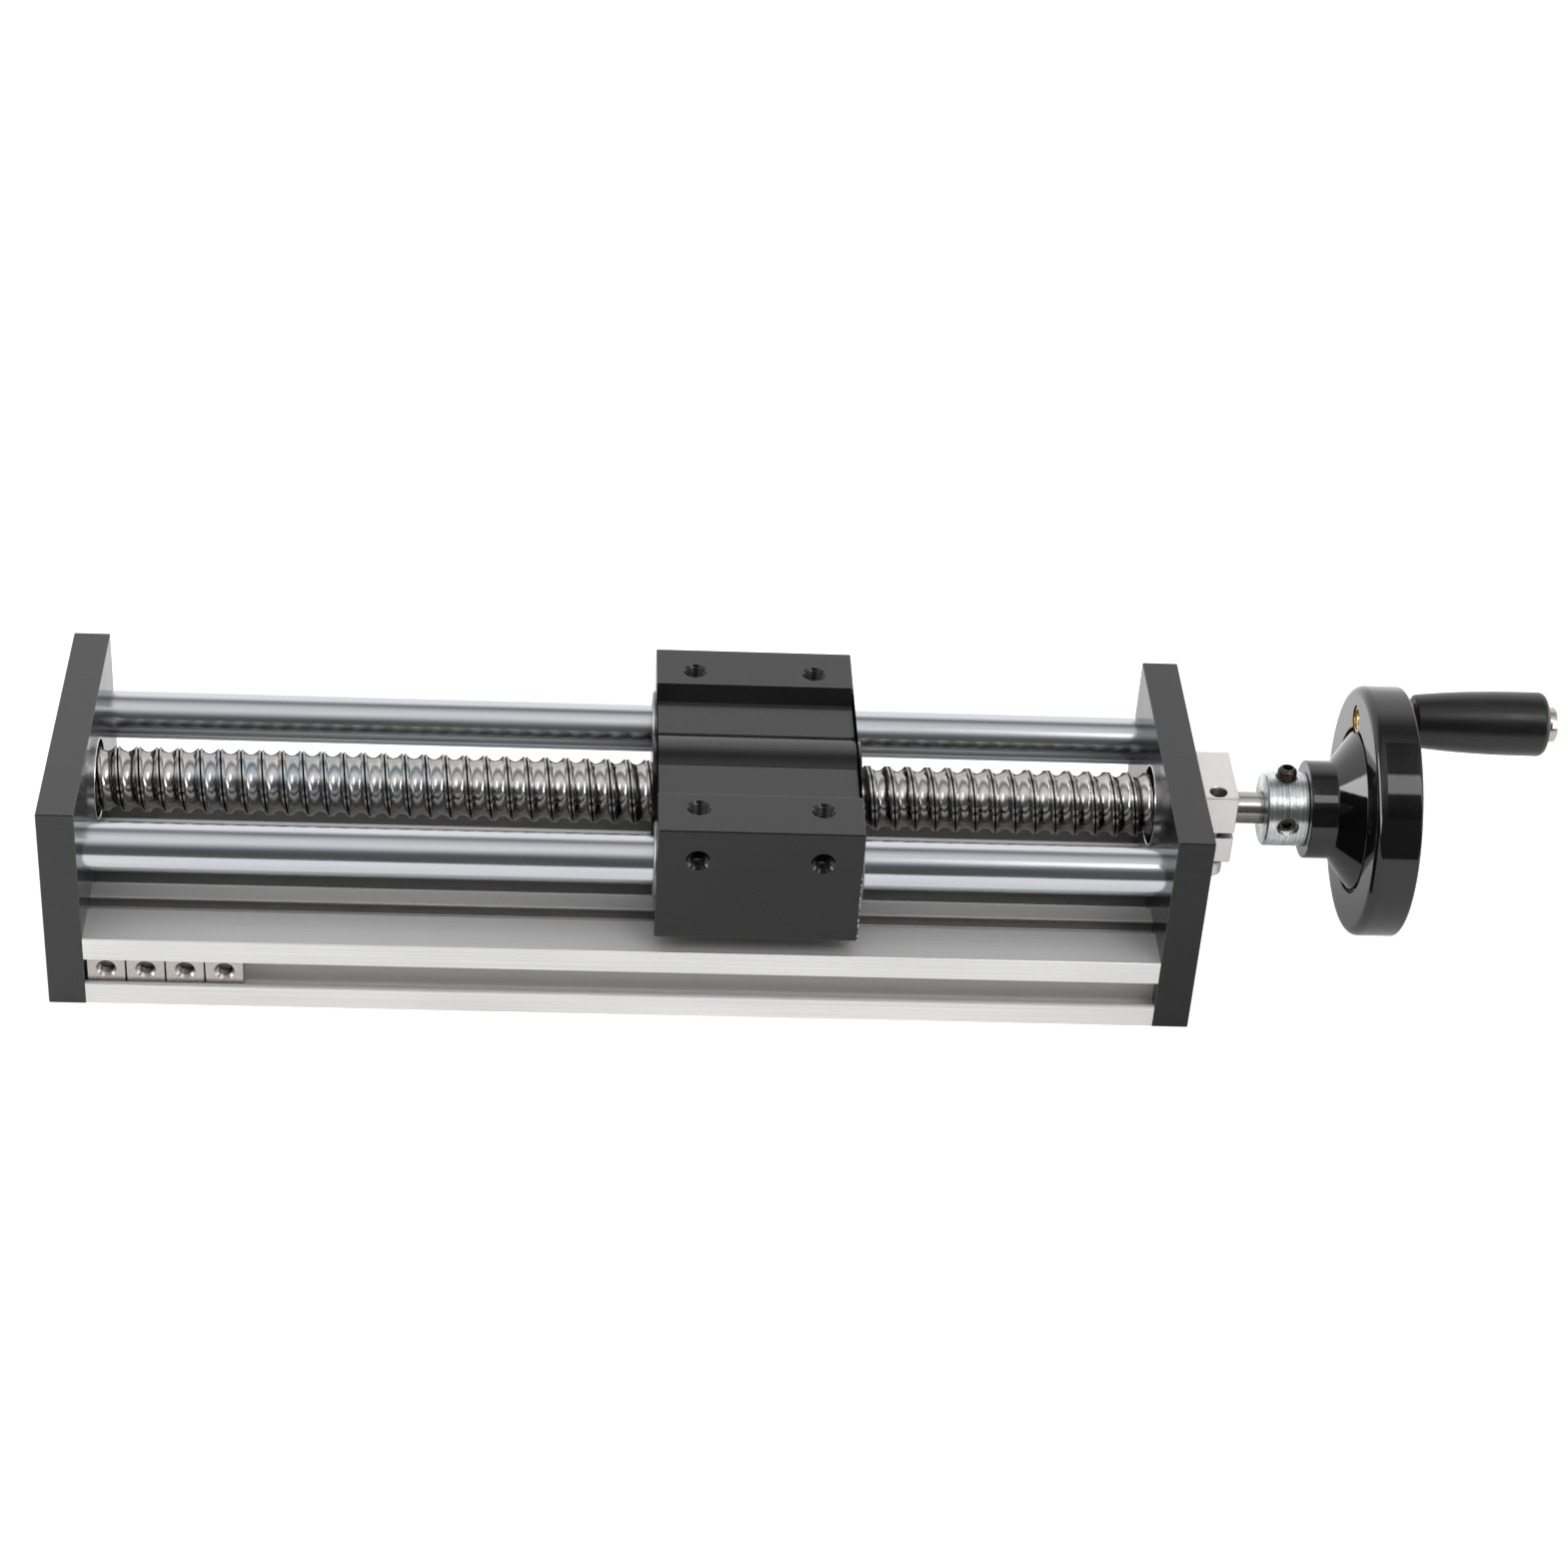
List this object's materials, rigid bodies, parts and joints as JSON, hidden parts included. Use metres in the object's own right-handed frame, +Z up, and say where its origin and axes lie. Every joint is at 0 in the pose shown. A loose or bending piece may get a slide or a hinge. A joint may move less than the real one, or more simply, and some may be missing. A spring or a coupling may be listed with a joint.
{
  "type": "ball screw linear stage",
  "caption": "Single-axis ball-screw linear stage: black carriage on twin round guide rods over an aluminium T-slot rail, driven by a handwheel with a revolving handle.",
  "frame": {"origin": "middle of the rail's flat underside", "axes": "+X along the screw towards the handwheel, +Y towards the rear guide rod, +Z up from the rail's underside to the carriage's top"},
  "size_m": [0.374, 0.077, 0.0714],
  "materials": {
    "anodised_rail": "clear anodised extrusion, fine lines along its length",
    "black_anodised": "black anodised, satin",
    "chrome_rod": "hard chrome, polished",
    "screw_steel": "ground and polished steel",
    "nut_steel": "ground steel",
    "bearing_steel": "ground steel",
    "shield_steel": "pressed sheet steel",
    "black_oxide_steel": "black oxide",
    "bush_steel": "ground steel",
    "wiper_plastic": "moulded nylon",
    "plain_aluminium": "machined and clear anodised",
    "zinc_steel": "turned and zinc plated",
    "wheel_plastic": "black phenolic, polished",
    "grip_plastic": "black phenolic, satin",
    "insert_brass": "turned brass",
    "nickel_steel": "nickel plated"
  },
  "bodies": {
    "base": {"base_rail": "anodised_rail", "left_end_plate": "black_anodised", "right_end_plate": "black_anodised", "front_guide_rod": "chrome_rod", "rear_guide_rod": "chrome_rod", "left_plate_screws": "black_oxide_steel", "right_plate_screws": "black_oxide_steel", "left_rod_screws": "black_oxide_steel", "right_rod_screws": "black_oxide_steel", "left_bearing_outer_ring": "bearing_steel", "right_bearing_outer_ring": "bearing_steel", "left_bearing_shields": "shield_steel", "right_bearing_shields": "shield_steel"},
    "carriage": {"carriage_block": "black_anodised", "ball_nut": "nut_steel", "left_nut_wiper": "wiper_plastic", "right_nut_wiper": "wiper_plastic", "front_left_bush": "bush_steel", "front_right_bush": "bush_steel", "rear_left_bush": "bush_steel", "rear_right_bush": "bush_steel"},
    "screw": {"ball_screw": "screw_steel", "left_bearing_inner_ring": "bearing_steel", "right_bearing_inner_ring": "bearing_steel", "left_retaining_ring": "black_oxide_steel", "thrust_shim": "shield_steel", "shaft_clamp_block": "plain_aluminium", "clamp_screw": "zinc_steel", "hub_sleeve": "zinc_steel", "sleeve_set_screws": "black_oxide_steel", "handwheel": "wheel_plastic", "handle_insert": "insert_brass", "handle_washer": "nickel_steel", "handle_bolt": "nickel_steel"},
    "grip": {"handle_grip": "grip_plastic"},
    "slot_nuts": {"slot_nuts": "nickel_steel"}
  },
  "joints": [
    {"name": "screw_spin", "type": "hinge", "parent": "base", "child": "screw", "pos_m": [0, 0, 0.04], "axis": [1, 0, 0], "range_deg": [-4953, 9446]},
    {"name": "carriage_slide", "type": "slide", "parent": "base", "child": "carriage", "axis": [1, 0, 0], "range_m": [-0.1312, 0.0688]},
    {"name": "grip_spin", "type": "hinge", "parent": "screw", "child": "grip", "pos_m": [0.215, 0.0108, 0.06031], "axis": [1, 0, 0], "continuous": true},
    {"name": "slot_nuts_slide", "type": "slide", "parent": "base", "child": "slot_nuts", "axis": [1, 0, 0], "range_m": [0, 0.223]}
  ],
  "couplings": [
    {"joint": "carriage_slide", "follows": "screw_spin", "m_per_rad": -0.00079577}
  ]
}
